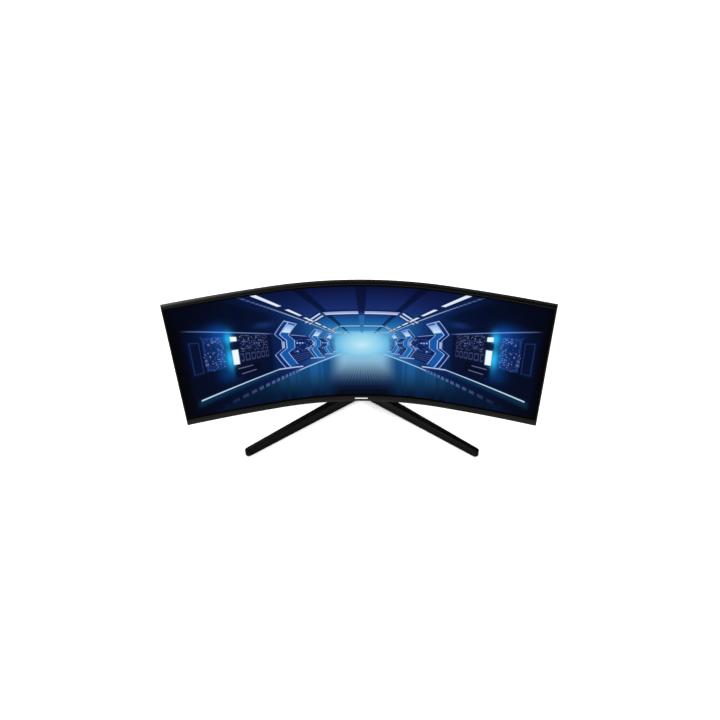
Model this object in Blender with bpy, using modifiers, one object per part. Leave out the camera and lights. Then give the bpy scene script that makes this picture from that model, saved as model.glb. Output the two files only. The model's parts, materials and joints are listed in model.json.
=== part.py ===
"""A curved ultrawide desktop monitor on a V-shaped stand, as separate pieces.

Metres, +Z up. The screen faces -Y and the underside of the feet is at z = 0. Pieces of the head are
described from the middle of the screen's front: across, behind the front, and above the middle. The
curved pieces are made flat first and then bent together along the screen's curve.
"""

import math

import bmesh
import bpy
from mathutils import Matrix, Vector

GAP = 0.0003  # what neighbouring pieces keep between them

# The screen's front, seen from above: a tight middle arc with flatter ends, all one tangent line.
HALF_ARC = 0.4071
TIGHT_HALF = 0.183
TIGHT_RADIUS = 0.838
WIDE_RADIUS = 3.333
COLUMNS = 24  # flat facets along the curve

# The head's outline, and where the middle of its front stands.
HALF_HEIGHT = 0.183
HEAD_Z = 0.292
SCREEN_Y = -0.0558
EDGE_DEPTH = 0.0135
SEAM_DEPTH = 0.0070  # bezel in front of it, rear cover behind it
BEZEL_WALL = 0.0016
COVER_WALL = 0.0022
SIDE_LIP = 0.003
TOP_LIP = 0.003
CHIN = 0.0185

# The rear cover rises from its edge to a flat face in the middle.
MOUNT_FACE = 0.050
FLAT_ACROSS = 0.075
REACH_ACROSS = 0.360
FLAT_UP, REACH_UP = 0.075, 0.165
FLAT_DOWN, REACH_DOWN = 0.100, 0.165
COVER_ROWS = 20

# The recess under the rear cover where the sockets are.
BAY_LOW = Vector((-0.162, 0.014, -0.150))
BAY_HIGH = Vector((-0.080, 0.080, -0.1022))

# Four screws of the common 75 mm square pattern hold the stand.
VESA_HALF = 0.0375
SCREW_HOLE = 0.0022

# The tilt hinge, from the middle of the screen's front.
AXIS_BEHIND = 0.072
AXIS_UP = 0.0
NECK_LEAN = math.radians(17.5)
NECK_HALF_WIDTH = 0.025
NECK_HALF_THICK = 0.013
NECK_WALL = 0.0022
NECK_LENGTH = 0.300
EAR_HOLE = 0.0043

# The joystick on the rear cover.
JOG_ARC = 0.270
JOG_UP = -0.105
JOG_PIVOT = 0.019
DISH_FLOOR = 0.025
DISH_RADIUS = 0.0125

# The V-shaped base, from above.
LEG_TURN = math.radians(35.3)
APEX_Y = 0.0522
LEG_ROUND_START = 0.3234
LEG_REAR_ROOT, LEG_REAR_TAPER = 0.0295, 0.0431
LEG_FRONT_ROOT, LEG_FRONT_TAPER = 0.0115, 0.0180
LEG_LIP = 0.0022
LEG_TOP = 0.0175
BASE_RIM = 0.0016
BASE_WALL = 0.0024
HUB_TOP = 0.024
HUB_FRONT = 0.060
HUB_REAR = 0.1363
PLATE_LOW, PLATE_HIGH = 0.0030, 0.0055
NECK_FOOT_Y = 0.1019


def start_clean():
    for old in list(bpy.data.objects):
        bpy.data.objects.remove(old, do_unlink=True)
    for old in list(bpy.data.collections):
        bpy.data.collections.remove(old)


def collection(name):
    made = bpy.data.collections.new(name)
    bpy.context.scene.collection.children.link(made)
    return made


def material(name, colour, roughness, metallic=0.0):
    made = bpy.data.materials.new(name)
    made.use_nodes = True
    shader = made.node_tree.nodes["Principled BSDF"]
    shader.inputs["Base Color"].default_value = (*colour, 1.0)
    shader.inputs["Roughness"].default_value = roughness
    shader.inputs["Metallic"].default_value = metallic
    return made


start_clean()
PARTS = collection("curved_monitor")
CUTTERS = collection("cutters")

BLACK = material("black_plastic", (0.018, 0.018, 0.020), 0.45)
REAR_BLACK = material("rear_plastic", (0.022, 0.022, 0.024), 0.60)
GLASS = material("screen_face", (0.006, 0.008, 0.020), 0.20)
FRAME_PLASTIC = material("frame_plastic", (0.05, 0.05, 0.05), 0.50)
FILM = material("optical_film", (0.85, 0.86, 0.88), 0.30)
GUIDE = material("light_guide", (0.80, 0.86, 0.90), 0.10)
STEEL = material("steel", (0.55, 0.56, 0.58), 0.35, 1.0)
DARK_STEEL = material("dark_steel", (0.05, 0.05, 0.055), 0.40, 1.0)
ALUMINIUM = material("aluminium", (0.70, 0.71, 0.72), 0.35, 1.0)
BOARD = material("circuit_board", (0.02, 0.16, 0.06), 0.45)
RIBBON = material("ribbon", (0.55, 0.28, 0.06), 0.40)
PORT_PLASTIC = material("port_plastic", (0.015, 0.015, 0.015), 0.40)
RUBBER = material("rubber", (0.020, 0.020, 0.020), 0.80)
BADGE = material("badge_bar", (0.50, 0.51, 0.53), 0.30, 0.6)


class Frame:
    """An empty that pieces hang on, and the place of their own origin seen from it."""

    def __init__(self, name, place, turn=(0, 0, 0), parent=None, origin=(0, 0, 0)):
        self.empty = bpy.data.objects.new(name, None)
        PARTS.objects.link(self.empty)
        self.empty.location = place
        self.empty.rotation_euler = turn
        self.empty.parent = parent
        self.origin = origin


def curve_at(along):
    """The screen front's place across and behind, and its turn, at this length from its middle."""
    tight = max(-TIGHT_HALF, min(TIGHT_HALF, along))
    turn = tight / TIGHT_RADIUS
    rest = along - tight
    chord = turn + rest / WIDE_RADIUS / 2
    across = TIGHT_RADIUS * math.sin(turn) + rest * math.cos(chord)
    behind = TIGHT_RADIUS * (math.cos(turn) - 1) - rest * math.sin(chord)
    return across, behind, turn + rest / WIDE_RADIUS


JOG_ACROSS, JOG_BEHIND, JOG_TURN = curve_at(JOG_ARC)
STAND = Frame("stand", (0, 0, 0))
HEAD = Frame(
    "head_tilt_axis",
    (0, SCREEN_Y + AXIS_BEHIND, HEAD_Z + AXIS_UP),
    origin=(0, -AXIS_BEHIND, -AXIS_UP),
)
NECK = Frame("neck", HEAD.empty.location, turn=(NECK_LEAN, 0, 0))
JOG = Frame(
    "jog_pivot",
    (
        JOG_ACROSS + JOG_PIVOT * math.sin(JOG_TURN),
        JOG_BEHIND + JOG_PIVOT * math.cos(JOG_TURN) - AXIS_BEHIND,
        JOG_UP - AXIS_UP,
    ),
    turn=(0, 0, -JOG_TURN),
    parent=HEAD.empty,
    origin=(0, -JOG_PIVOT, 0),
)


def hang(name, mesh, frame, finish):
    """The mesh as an object in its frame: a part with its finish, or a cutter without one."""
    made = bpy.data.objects.new(name, mesh)
    (PARTS if finish else CUTTERS).objects.link(made)
    if finish:
        mesh.materials.clear()
        mesh.materials.append(finish)
    else:
        made.hide_render = True
        made.display_type = "WIRE"
    made.parent = frame.empty
    made.location = frame.origin
    return made


def from_bmesh(name, shape, frame, finish):
    bmesh.ops.recalc_face_normals(shape, faces=shape.faces)
    mesh = bpy.data.meshes.new(name)
    shape.to_mesh(mesh)
    shape.free()
    mesh.shade_smooth()
    mesh.set_sharp_from_angle(angle=math.radians(30))
    return hang(name, mesh, frame, finish)


def box(name, low, high, frame, finish=None):
    low, high = Vector(low), Vector(high)
    shape = bmesh.new()
    place = Matrix.LocRotScale((low + high) / 2, None, high - low)
    bmesh.ops.create_cube(shape, size=1, matrix=place)
    return from_bmesh(name, shape, frame, finish)


ALONG = {
    "x": Matrix.Rotation(math.radians(90), 4, "Y"),
    "y": Matrix.Rotation(math.radians(-90), 4, "X"),
    "z": Matrix.Identity(4),
}


def rod(name, radius, start, length, axis, frame, finish=None, sides=20, end_radius=None):
    """A round bar from start along an axis; a different end radius makes it a cone."""
    shape = bmesh.new()
    step = Vector([length if letter == axis else 0 for letter in "xyz"])
    bmesh.ops.create_cone(
        shape,
        cap_ends=True,
        segments=sides,
        radius1=radius,
        radius2=radius if end_radius is None else end_radius,
        depth=length,
        matrix=Matrix.Translation(Vector(start) + step / 2) @ ALONG[axis],
    )
    return from_bmesh(name, shape, frame, finish)


def plate(name, points, low, high, axis, frame, finish=None):
    """A flat outline given thickness along an axis. Its points are the other two coordinates in order."""
    curve = bpy.data.curves.new(name, "CURVE")
    curve.dimensions = "2D"
    curve.fill_mode = "BOTH"
    curve.extrude = (high - low) / 2
    line = curve.splines.new("POLY")
    line.points.add(len(points) - 1)
    for point, (a, b) in zip(line.points, points):
        point.co = (a, b, 0, 1)
    line.use_cyclic_u = True
    drawn = bpy.data.objects.new(name, curve)
    CUTTERS.objects.link(drawn)
    seen = drawn.evaluated_get(bpy.context.evaluated_depsgraph_get())
    shape = bmesh.new()
    shape.from_mesh(bpy.data.meshes.new_from_object(seen))
    bpy.data.objects.remove(drawn)
    bmesh.ops.remove_doubles(shape, verts=shape.verts, dist=1e-6)
    middle = (low + high) / 2
    for vert in shape.verts:
        a, b, thick = vert.co
        thick += middle
        vert.co = {"x": (thick, a, b), "y": (a, thick, b), "z": (a, b, thick)}[axis]
    return from_bmesh(name, shape, frame, finish)


def change(piece, operation, others):
    for other in others:
        step = piece.modifiers.new(other.name, "BOOLEAN")
        step.operation = operation
        step.solver = "EXACT"
        step.object = other
        other.hide_render = True
    return piece


def cut(piece, *others):
    return change(piece, "DIFFERENCE", others)


def join(piece, *others):
    return change(piece, "UNION", others)


def bevel(piece, width, segments=1):
    step = piece.modifiers.new("edges", "BEVEL")
    step.width = width
    step.segments = segments
    step.limit_method = "ANGLE"
    step.angle_limit = math.radians(40)
    return piece


def settle(piece):
    """The piece with its modifiers applied."""
    bpy.context.view_layer.update()
    seen = piece.evaluated_get(bpy.context.evaluated_depsgraph_get())
    mesh = bpy.data.meshes.new_from_object(seen)
    piece.modifiers.clear()
    piece.data = mesh
    return piece


def bend(piece):
    """A flat piece laid along the screen's curve, with a fold line at each column."""
    settle(piece)
    shape = bmesh.new()
    shape.from_mesh(piece.data)
    for column in range(1, COLUMNS):
        along = HALF_ARC * (2 * column / COLUMNS - 1)
        everything = shape.verts[:] + shape.edges[:] + shape.faces[:]
        bmesh.ops.bisect_plane(
            shape, geom=everything, dist=1e-7, plane_co=(along, 0, 0), plane_no=(1, 0, 0)
        )
    for vert in shape.verts:
        across, behind, turn = curve_at(vert.co.x)
        depth = vert.co.y
        vert.co.x = across + depth * math.sin(turn)
        vert.co.y = behind + depth * math.cos(turn)
    shape.to_mesh(piece.data)
    shape.free()
    return piece


def sheet(name, half_across, low_up, high_up, front, back, finish):
    """A curved sheet of the screen's stack, by its edges and its front and back depth."""
    flat = box(name, (-half_across, front, low_up), (half_across, back, high_up), HEAD, finish)
    return bend(flat)


def ease(part):
    part = max(0.0, min(1.0, part))
    return part * part * (3 - 2 * part)


def cover_depth(along, up):
    """How far behind the screen's front the rear cover's outside is."""
    sideways = 1 - ease((abs(along) - FLAT_ACROSS) / (REACH_ACROSS - FLAT_ACROSS))
    flat, reach = (FLAT_UP, REACH_UP) if up > 0 else (FLAT_DOWN, REACH_DOWN)
    upright = 1 - ease((abs(up) - flat) / (reach - flat))
    _, behind, turn = curve_at(along)
    middle = (MOUNT_FACE - behind) / math.cos(turn)
    return EDGE_DEPTH + sideways * upright * (middle - EDGE_DEPTH)


def bulge(name, inset, front, finish=None):
    """The solid between a front depth and the rear cover's outside, drawn in by the inset."""
    shape = bmesh.new()
    bmesh.ops.create_grid(shape, x_segments=COLUMNS, y_segments=COVER_ROWS, size=1)
    for vert in shape.verts:
        along, up = vert.co.x * HALF_ARC, vert.co.y * HALF_HEIGHT
        depth = cover_depth(along, up) - inset
        along = max(inset - HALF_ARC, min(HALF_ARC - inset, along))
        up = max(inset - HALF_HEIGHT, min(HALF_HEIGHT - inset, up))
        vert.co = (along, depth, up)
    rim = [edge for edge in shape.edges if edge.is_boundary]
    walls = bmesh.ops.extrude_edge_only(shape, edges=rim)["geom"]
    for vert in (item for item in walls if isinstance(item, bmesh.types.BMVert)):
        vert.co.y = front
    bmesh.ops.holes_fill(shape, edges=[edge for edge in shape.edges if edge.is_boundary], sides=0)
    return bend(from_bmesh(name, shape, HEAD, finish))


def screen_stack():
    ring = box("front_bezel", (-HALF_ARC, 0, -HALF_HEIGHT), (HALF_ARC, SEAM_DEPTH, HALF_HEIGHT), HEAD, BLACK)
    inside = Vector((HALF_ARC - BEZEL_WALL, 0, HALF_HEIGHT - BEZEL_WALL))
    hollow = box(
        "bezel_hollow", (-inside.x, BEZEL_WALL, -inside.z), (inside.x, SEAM_DEPTH + 0.01, inside.z), HEAD
    )
    window = box(
        "bezel_window",
        (SIDE_LIP - HALF_ARC, -0.01, CHIN - HALF_HEIGHT),
        (HALF_ARC - SIDE_LIP, 0.01, HALF_HEIGHT - TOP_LIP),
        HEAD,
    )
    chin_edge = plate(
        "chin_edge",
        [(-0.001, -0.1805), (-0.001, -0.1840), (0.0010, -0.1840), (0.0008, -0.1830), (0, -0.1810)],
        -HALF_ARC - 0.01,
        HALF_ARC + 0.01,
        "x",
        HEAD,
    )
    badge_half, badge_up = Vector((0.0150, 0, 0.0018)), -0.1728
    pocket = box(
        "badge_pocket",
        (-badge_half.x - GAP, -0.001, badge_up - badge_half.z - GAP),
        (badge_half.x + GAP, 0.0009, badge_up + badge_half.z + GAP),
        HEAD,
    )
    bend(cut(ring, hollow, window, chin_edge, pocket))
    badge = box(
        "badge_bar",
        (-badge_half.x, -0.0001, badge_up - badge_half.z),
        (badge_half.x, 0.0009 - GAP, badge_up + badge_half.z),
        HEAD,
        BADGE,
    )
    bend(badge)

    sheet("lcd_panel", 0.4051, -0.1660, 0.1809, 0.0019, 0.0033, GLASS)
    middle = box(
        "panel_middle_frame", (-0.4044, 0.0037, -0.1765), (0.4044, 0.0085, 0.1802), HEAD, FRAME_PLASTIC
    )
    opening = box("frame_opening", (-0.4006, 0.0, -0.1718), (0.4006, 0.02, 0.1763), HEAD)
    bend(cut(middle, opening))
    sheet("prism_sheet", 0.4003, -0.1680, 0.1758, 0.0039, 0.0042, FILM)
    sheet("diffuser_sheet", 0.4003, -0.1680, 0.1758, 0.0045, 0.0049, FILM)
    sheet("light_guide", 0.4003, -0.1680, 0.1758, 0.0052, 0.0076, GUIDE)
    sheet("reflector_sheet", 0.4003, -0.1680, 0.1758, 0.0079, 0.0082, FILM)
    sheet("led_bar", 0.3990, -0.1712, -0.1684, 0.0052, 0.0080, ALUMINIUM)
    sheet("backlight_chassis", 0.4040, -0.1765, 0.1800, 0.0089, 0.0097, STEEL)
    sheet("source_board", 0.3000, -0.1755, -0.1610, 0.0100, 0.0110, BOARD)
    wrap = [
        (0.00250, -0.16650), (0.00250, -0.17720), (0.01060, -0.17720), (0.01060, -0.17590),
        (0.01035, -0.17590), (0.01035, -0.17695), (0.00275, -0.17695), (0.00275, -0.16650),
    ]
    for number, along in enumerate((-0.245, -0.082, 0.082, 0.245), 1):
        bend(plate(f"panel_ribbon_{number}", wrap, along - 0.018, along + 0.018, "x", HEAD, RIBBON))


def ports():
    """The four sockets, which point down through the roof of the bay."""
    high, end = -0.088, BAY_HIGH.z + 0.0004
    lands = {
        "dc_power_jack": (-0.1500, 0.0045, 0.0270, PORT_PLASTIC),
        "headphone_jack": (-0.1350, 0.0035, 0.0230, PORT_PLASTIC),
        "hdmi_port": (-0.1165, 0.0076, 0.0224, STEEL),
        "displayport_port": (-0.0935, 0.0086, 0.0226, STEEL),
    }
    front = 0.0164
    made, openings = {}, []
    for name, (across, half, back, finish) in lands.items():
        made[name] = box(name, (across - half, front, end), (across + half, back, high), HEAD, finish)
        openings.append(
            box(
                f"{name}_way",
                (across - half - GAP, front - GAP, end - 0.004),
                (across + half + GAP, back + GAP, end + 0.006),
                HEAD,
            )
        )
    power = rod("power_bore", 0.0030, (-0.1500, 0.0217, end - 0.001), 0.010, "z", HEAD)
    pin = rod("power_pin", 0.0010, (-0.1500, 0.0217, end + 0.001), 0.010, "z", HEAD, sides=8)
    join(cut(made["dc_power_jack"], power), pin)
    cut(
        made["headphone_jack"],
        rod("headphone_bore", 0.0018, (-0.1350, 0.0197, end - 0.001), 0.011, "z", HEAD),
    )
    for name, half, back in (("hdmi_port", 0.0070, 0.0216), ("displayport_port", 0.0080, 0.0220)):
        across = lands[name][0]
        mouth = box(
            f"{name}_mouth", (across - half, 0.0171, end - 0.001), (across + half, back, end + 0.009), HEAD
        )
        tongue = box(
            f"{name}_tongue",
            (across - half + 0.0015, 0.0189, end + 0.001),
            (across + half - 0.0015, 0.0199, end + 0.010),
            HEAD,
        )
        join(cut(made[name], mouth), tongue)
    return openings


def boards(port_ways):
    board = box("main_board", (-0.165, 0.0145, -0.096), (-0.069, 0.0161, 0.003), HEAD, BOARD)
    join(
        board,
        box("processor", (-0.136, 0.0155, -0.050), (-0.112, 0.0197, -0.026), HEAD),
        box("memory", (-0.104, 0.0155, -0.046), (-0.090, 0.0175, -0.034), HEAD),
        box("choke", (-0.158, 0.0155, -0.075), (-0.146, 0.0230, -0.063), HEAD),
        *(rod(f"capacitor_{n}", 0.004, (-0.158, 0.0155, -0.050 + 0.012 * n), 0.013, "y", HEAD, sides=12)
          for n in range(4)),
    )
    sink = box("heat_sink", (-0.138, 0.0200, -0.052), (-0.110, 0.0220, -0.024), HEAD, ALUMINIUM)
    join(
        sink,
        *(box(f"fin_{n}", (-0.138 + 0.0044 * n, 0.0215, -0.052), (-0.1364 + 0.0044 * n, 0.0300, -0.024), HEAD)
          for n in range(7)),
    )
    shield = box("board_shield", (-0.168, 0.0105, -0.0995), (-0.066, 0.0340, 0.006), HEAD, STEEL)
    hollow = box("shield_hollow", (-0.1668, 0.0, -0.0983), (-0.0672, 0.0328, 0.0048), HEAD)
    notch = box("shield_notch", (-0.070, 0.0, -0.063), (-0.060, 0.0126, -0.045), HEAD)
    cut(shield, hollow, notch, *port_ways)
    box("timing_board", (0.066, 0.0105, -0.070), (0.166, 0.0117, -0.038), HEAD, BOARD)
    box("flat_cable", (-0.080, 0.0120, -0.062), (0.082, 0.0123, -0.046), HEAD, RIBBON)


def rear_cover(port_ways):
    cover = bulge("rear_cover", 0.0, SEAM_DEPTH + GAP, REAR_BLACK)
    cavity = bulge("cover_cavity", COVER_WALL, SEAM_DEPTH - 0.001)
    wall = Vector((COVER_WALL, COVER_WALL, COVER_WALL))
    bay = box("bay", BAY_LOW, BAY_HIGH, HEAD)
    bay_walls = box("bay_walls", BAY_LOW - wall, BAY_HIGH + wall, HEAD)
    dish = rod("dish", DISH_RADIUS, (0, DISH_FLOOR, 0), 0.03, "y", JOG)
    dish_walls = rod("dish_walls", DISH_RADIUS + COVER_WALL, (0, DISH_FLOOR - COVER_WALL, 0), 0.03, "y", JOG)
    settle(cut(cavity, bay_walls, dish_walls))
    stem_way = rod("stem_way", 0.0045, (0, DISH_FLOOR - 0.01, 0), 0.02, "y", JOG)
    holes = [
        rod(f"cover_hole_{n}", SCREW_HOLE, (x, MOUNT_FACE - 0.01, z), 0.02, "y", HEAD, sides=12)
        for n, (x, z) in enumerate(screw_places())
    ]
    cut(cover, cavity, bay, dish, stem_way, *port_ways, *holes)


def screw_places():
    return [(x, z) for x in (-VESA_HALF, VESA_HALF) for z in (-VESA_HALF, VESA_HALF)]


def mount():
    """The steel bridge that carries the head, and the four screws that hold the stand to it."""
    high = MOUNT_FACE - COVER_WALL - GAP
    bridge = box("mount_bracket", (-0.062, high - 0.0022, -0.062), (0.062, high, 0.062), HEAD, STEEL)
    for side in (-1, 1):
        inner, outer = sorted((side * 0.0598, side * 0.062))
        join(bridge, box(f"bridge_leg_{side}", (inner, 0.0100, -0.020), (outer, high - 0.001, 0.055), HEAD))
    for number, (x, z) in enumerate(screw_places(), 1):
        cut(bridge, rod(f"bridge_hole_{number}", SCREW_HOLE, (x, 0.04, z), 0.02, "y", HEAD, sides=12))
        screw = rod(f"mount_screw_{number}", 0.0019, (x, 0.0435, z), 0.0110, "y", HEAD, DARK_STEEL, sides=12)
        head = rod(f"screw_head_{number}", 0.0038, (x, 0.0531, z), 0.0026, "y", HEAD, sides=16)
        socket = rod(f"screw_socket_{number}", 0.0015, (x, 0.0544, z), 0.0026, "y", HEAD, sides=6)
        cut(join(screw, head), socket)


def ear_outline(root, radius):
    """An ear in the hinge's plane: straight from its root, and round about the axis."""
    turns = [math.radians(90 - 180 * step / 10) for step in range(11)]
    rim = [(radius * math.cos(turn), radius * math.sin(turn)) for turn in turns]
    return [(root, radius), *rim, (root, -radius)]


def head_bracket():
    front = MOUNT_FACE + GAP
    bracket = box("head_bracket", (-0.048, front, -0.048), (0.048, front + 0.0025, 0.048), HEAD, DARK_STEEL)
    outline = [
        (AXIS_BEHIND + a, AXIS_UP + b) for a, b in ear_outline(front + 0.001 - AXIS_BEHIND, 0.012)
    ]
    for side in (-1, 1):
        low, high = sorted((side * 0.0290, side * 0.0315))
        join(bracket, plate(f"ear_{side}", outline, low, high, "x", HEAD))
    axis = (-0.04, AXIS_BEHIND, AXIS_UP)
    join_hole = rod("ear_holes", EAR_HOLE, axis, 0.08, "x", HEAD)
    holes = [
        rod(f"bracket_hole_{n}", SCREW_HOLE, (x, 0.04, z), 0.02, "y", HEAD, sides=12)
        for n, (x, z) in enumerate(screw_places())
    ]
    cut(bracket, join_hole, *holes)


def hood_outline(inset):
    """The hinge cover from the side: a flat root on the rear cover, round behind the axis."""
    radius = 0.0205 - inset
    root = MOUNT_FACE + GAP - (0.01 if inset else 0)
    turns = [math.radians(48 - 84 * step / 8) for step in range(9)]
    rim = [(AXIS_BEHIND + radius * math.cos(t), AXIS_UP + radius * math.sin(t)) for t in turns]
    top, bottom = 0.054 - inset, -0.056 + inset
    return [(root, top), (0.058 - inset / 2, top), *rim, (0.064 - inset / 2, bottom), (root, bottom)]


def hinge_cover():
    half = 0.056
    hood = plate("hinge_cover", hood_outline(0.0), -half, half, "x", HEAD, REAR_BLACK)
    hollow = plate("hood_hollow", hood_outline(0.0022), -half + 0.0022, half - 0.0022, "x", HEAD)
    slot_half = NECK_HALF_WIDTH + 0.002
    slot = box("hood_slot", (-slot_half, 0.068, -0.07), (slot_half, 0.11, 0.002), HEAD)
    cut(hood, hollow, slot)


def hinge_hardware():
    """One shaft, washer and nut on each side of the neck."""
    for side, word in ((-1, "left"), (1, "right")):
        def across(near, far):
            return min(side * near, side * far), far - near

        def turned(name, radius, near, far, finish=None, sides=20):
            start, length = across(near, far)
            return rod(name, radius, (start, AXIS_BEHIND, AXIS_UP), length, "x", HEAD, finish, sides)

        shaft = turned(f"tilt_shaft_{word}", 0.0040, 0.0145, 0.0340, STEEL)
        join(shaft, turned(f"shaft_flange_{word}", 0.0070, 0.0318, 0.0344))
        washer = turned(f"friction_washer_{word}", 0.0090, 0.0256, 0.0286, STEEL)
        cut(washer, turned(f"washer_hole_{word}", EAR_HOLE, 0.0200, 0.0300))
        nut = turned(f"hinge_nut_{word}", 0.0068, 0.0155, 0.0197, STEEL, sides=6)
        cut(nut, turned(f"nut_hole_{word}", EAR_HOLE, 0.0150, 0.0200))


def neck_profile(inset, side):
    """Half of the neck's side outline, front or rear of its middle, round about the hinge's axis."""
    thick = NECK_HALF_THICK - inset
    turns = [math.radians(90 * step / 6) for step in range(7)]
    rim = [(side * thick * math.cos(turn), thick * math.sin(turn)) for turn in turns]
    middle = side * (GAP / 2 if inset == 0 else -0.001)
    return [(middle, -NECK_LENGTH), (side * thick, -NECK_LENGTH), *rim[:-1], (middle, thick)]


def below(height, name):
    """All that is lower than a height above the desk."""
    return box(name, (-0.4, -0.3, height - 0.4), (0.4, 0.3, height), STAND)


def neck():
    foot_top, covers_end = 0.030, 0.0222
    inner_half = NECK_HALF_WIDTH - NECK_WALL
    shaft_way = rod("shaft_way", 0.0046, (-0.03, 0, 0), 0.06, "x", NECK)
    for side, name in ((-1, "neck_front_cover"), (1, "neck_rear_cover")):
        shell = plate(
            name, neck_profile(0, side), -NECK_HALF_WIDTH, NECK_HALF_WIDTH, "x", NECK, REAR_BLACK
        )
        hollow = plate(f"{name}_hollow", neck_profile(NECK_WALL, side), -inner_half, inner_half, "x", NECK)
        cut(shell, hollow, shaft_way, below(covers_end, f"{name}_end"))

    bracket = box("neck_bracket", (-0.0225, -0.0070, -0.0220), (0.0225, 0.0070, -0.0195), NECK, STEEL)
    outline = [(b, a) for a, b in ear_outline(-0.0210, 0.0080)]
    for side in (-1, 1):
        low, high = sorted((side * 0.0200, side * 0.0225))
        join(bracket, plate(f"neck_ear_{side}", outline, low, high, "x", NECK))
    cut(bracket, rod("neck_ear_holes", EAR_HOLE, (-0.03, 0, 0), 0.06, "x", NECK))

    core = box("neck_core", (-0.0140, -0.0050, -NECK_LENGTH), (0.0140, 0.0050, -0.0223), NECK, DARK_STEEL)
    cut(core, below(foot_top + GAP, "core_end"))
    foot = box(
        "neck_foot",
        (-0.020, NECK_FOOT_Y - 0.007, PLATE_HIGH + GAP),
        (0.020, NECK_FOOT_Y + 0.007, foot_top),
        STAND,
        DARK_STEEL,
    )
    thread = rod("foot_thread", 0.0034, (0, NECK_FOOT_Y, 0), 0.020, "z", STAND, sides=16)
    cut(foot, thread)


def leg_section(out, inset, low):
    """The leg's outline across it, at a distance out from the apex: its front slopes, its top is flat."""
    rear = LEG_REAR_ROOT - LEG_REAR_TAPER * out - inset
    ridge = LEG_FRONT_ROOT - LEG_FRONT_TAPER * out + inset * 0.4
    top = LEG_TOP - inset
    return [
        (inset, low), (inset, BASE_RIM + LEG_LIP), (ridge, top), (rear, top), (rear + 0.0012, low),
    ]


def leg(name, inset, low, finish=None):
    """The right leg, mirrored to both, as a loft from beyond the apex to its rounded tip."""
    shape = bmesh.new()
    round_reach = 0.0080 - inset
    rounds = 5
    stations = [(-0.030, 1.0), (LEG_ROUND_START, 1.0)]
    for step in range(1, rounds + 1):
        turn = math.radians(80 * step / rounds)
        stations.append((LEG_ROUND_START + round_reach * math.sin(turn), math.cos(turn)))
    outward = Vector((math.cos(LEG_TURN), -math.sin(LEG_TURN), 0))
    rearward = Vector((math.sin(LEG_TURN), math.cos(LEG_TURN), 0))
    rings = []
    for out, width in stations:
        section = leg_section(min(out, LEG_ROUND_START), inset, low)
        middle = (section[0][0] + section[-1][0]) / 2
        ring = []
        for back, up in section:
            back = middle + (back - middle) * width
            place = Vector((0, APEX_Y, up)) + outward * out + rearward * back
            ring.append(shape.verts.new(place))
        rings.append(ring)
    for near, far in zip(rings, rings[1:]):
        for a in range(len(near)):
            b = (a + 1) % len(near)
            shape.faces.new((near[a], near[b], far[b], far[a]))
    shape.faces.new(rings[0])
    shape.faces.new(rings[-1])
    made = from_bmesh(name, shape, STAND, finish)
    halves = made.modifiers.new("mirror", "MIRROR")
    halves.use_bisect_axis = (True, False, False)
    halves.merge_threshold = 0.00001
    return settle(made)


def hub(name, inset, low, top, finish=None):
    """The block behind the apex that the neck stands in."""
    front, rear = HUB_FRONT + inset, HUB_REAR - inset
    near, far = 0.034 - inset, 0.029 - inset
    corner = 0.006
    right = [(near, front), (near, NECK_FOOT_Y), (far + 0.0008, rear - corner), (far - corner, rear)]
    outline = right + [(-x, y) for x, y in reversed(right)]
    return plate(name, outline, low, top, "z", STAND, finish)


def base():
    cover = leg("base_cover", 0.0, BASE_RIM - 0.004, BLACK)
    block = hub("hub_block", 0.0, BASE_RIM - 0.009, HUB_TOP)
    half_thick = NECK_HALF_THICK / math.cos(NECK_LEAN) + 0.0010
    neck_middle = NECK_FOOT_Y - 0.0007
    neck_way = box(
        "neck_way",
        (-NECK_HALF_WIDTH - 0.0006, neck_middle - half_thick, 0.015),
        (NECK_HALF_WIDTH + 0.0006, neck_middle + half_thick, 0.04),
        STAND,
    )
    join(cover, block)
    cut(
        cover,
        below(BASE_RIM, "base_trim"),
        leg("leg_cavity", BASE_WALL, BASE_RIM - 0.006),
        hub("hub_cavity", BASE_WALL, BASE_RIM - 0.007, HUB_TOP - BASE_WALL),
        neck_way,
    )

    margin = BASE_WALL + 0.0012
    floor = leg("base_plate", margin, PLATE_LOW - 0.02, STEEL)
    join(floor, hub("plate_hub", margin, PLATE_LOW - 0.002, PLATE_HIGH + 0.002))
    keep = box("plate_keep", (-0.4, -0.3, PLATE_LOW), (0.4, 0.3, PLATE_HIGH), STAND)
    change(floor, "INTERSECT", [keep])
    cut(floor, rod("plate_hole", 0.0036, (0, NECK_FOOT_Y, 0), 0.02, "z", STAND, sides=16))

    screw = rod("base_screw", 0.0030, (0, NECK_FOOT_Y, 0.0020), 0.0160, "z", STAND, STEEL, sides=16)
    head = rod("base_screw_head", 0.0080, (0, NECK_FOOT_Y, 0.0008), 0.0019, "z", STAND)
    slot = box("coin_slot", (-0.0060, NECK_FOOT_Y - 0.0007, 0), (0.0060, NECK_FOOT_Y + 0.0007, 0.0015), STAND)
    cut(join(screw, head), slot)

    out, back = 0.300, 0.0075
    tip_x = math.cos(LEG_TURN) * out + math.sin(LEG_TURN) * back
    tip_y = APEX_Y - math.sin(LEG_TURN) * out + math.cos(LEG_TURN) * back
    places = [(-tip_x, tip_y), (tip_x, tip_y), (-0.019, HUB_REAR - 0.0125), (0.019, HUB_REAR - 0.0125)]
    for number, (x, y) in enumerate(places, 1):
        rod(f"rubber_foot_{number}", 0.0042, (x, y, 0), PLATE_LOW - GAP, "z", STAND, RUBBER, sides=16)


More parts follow.
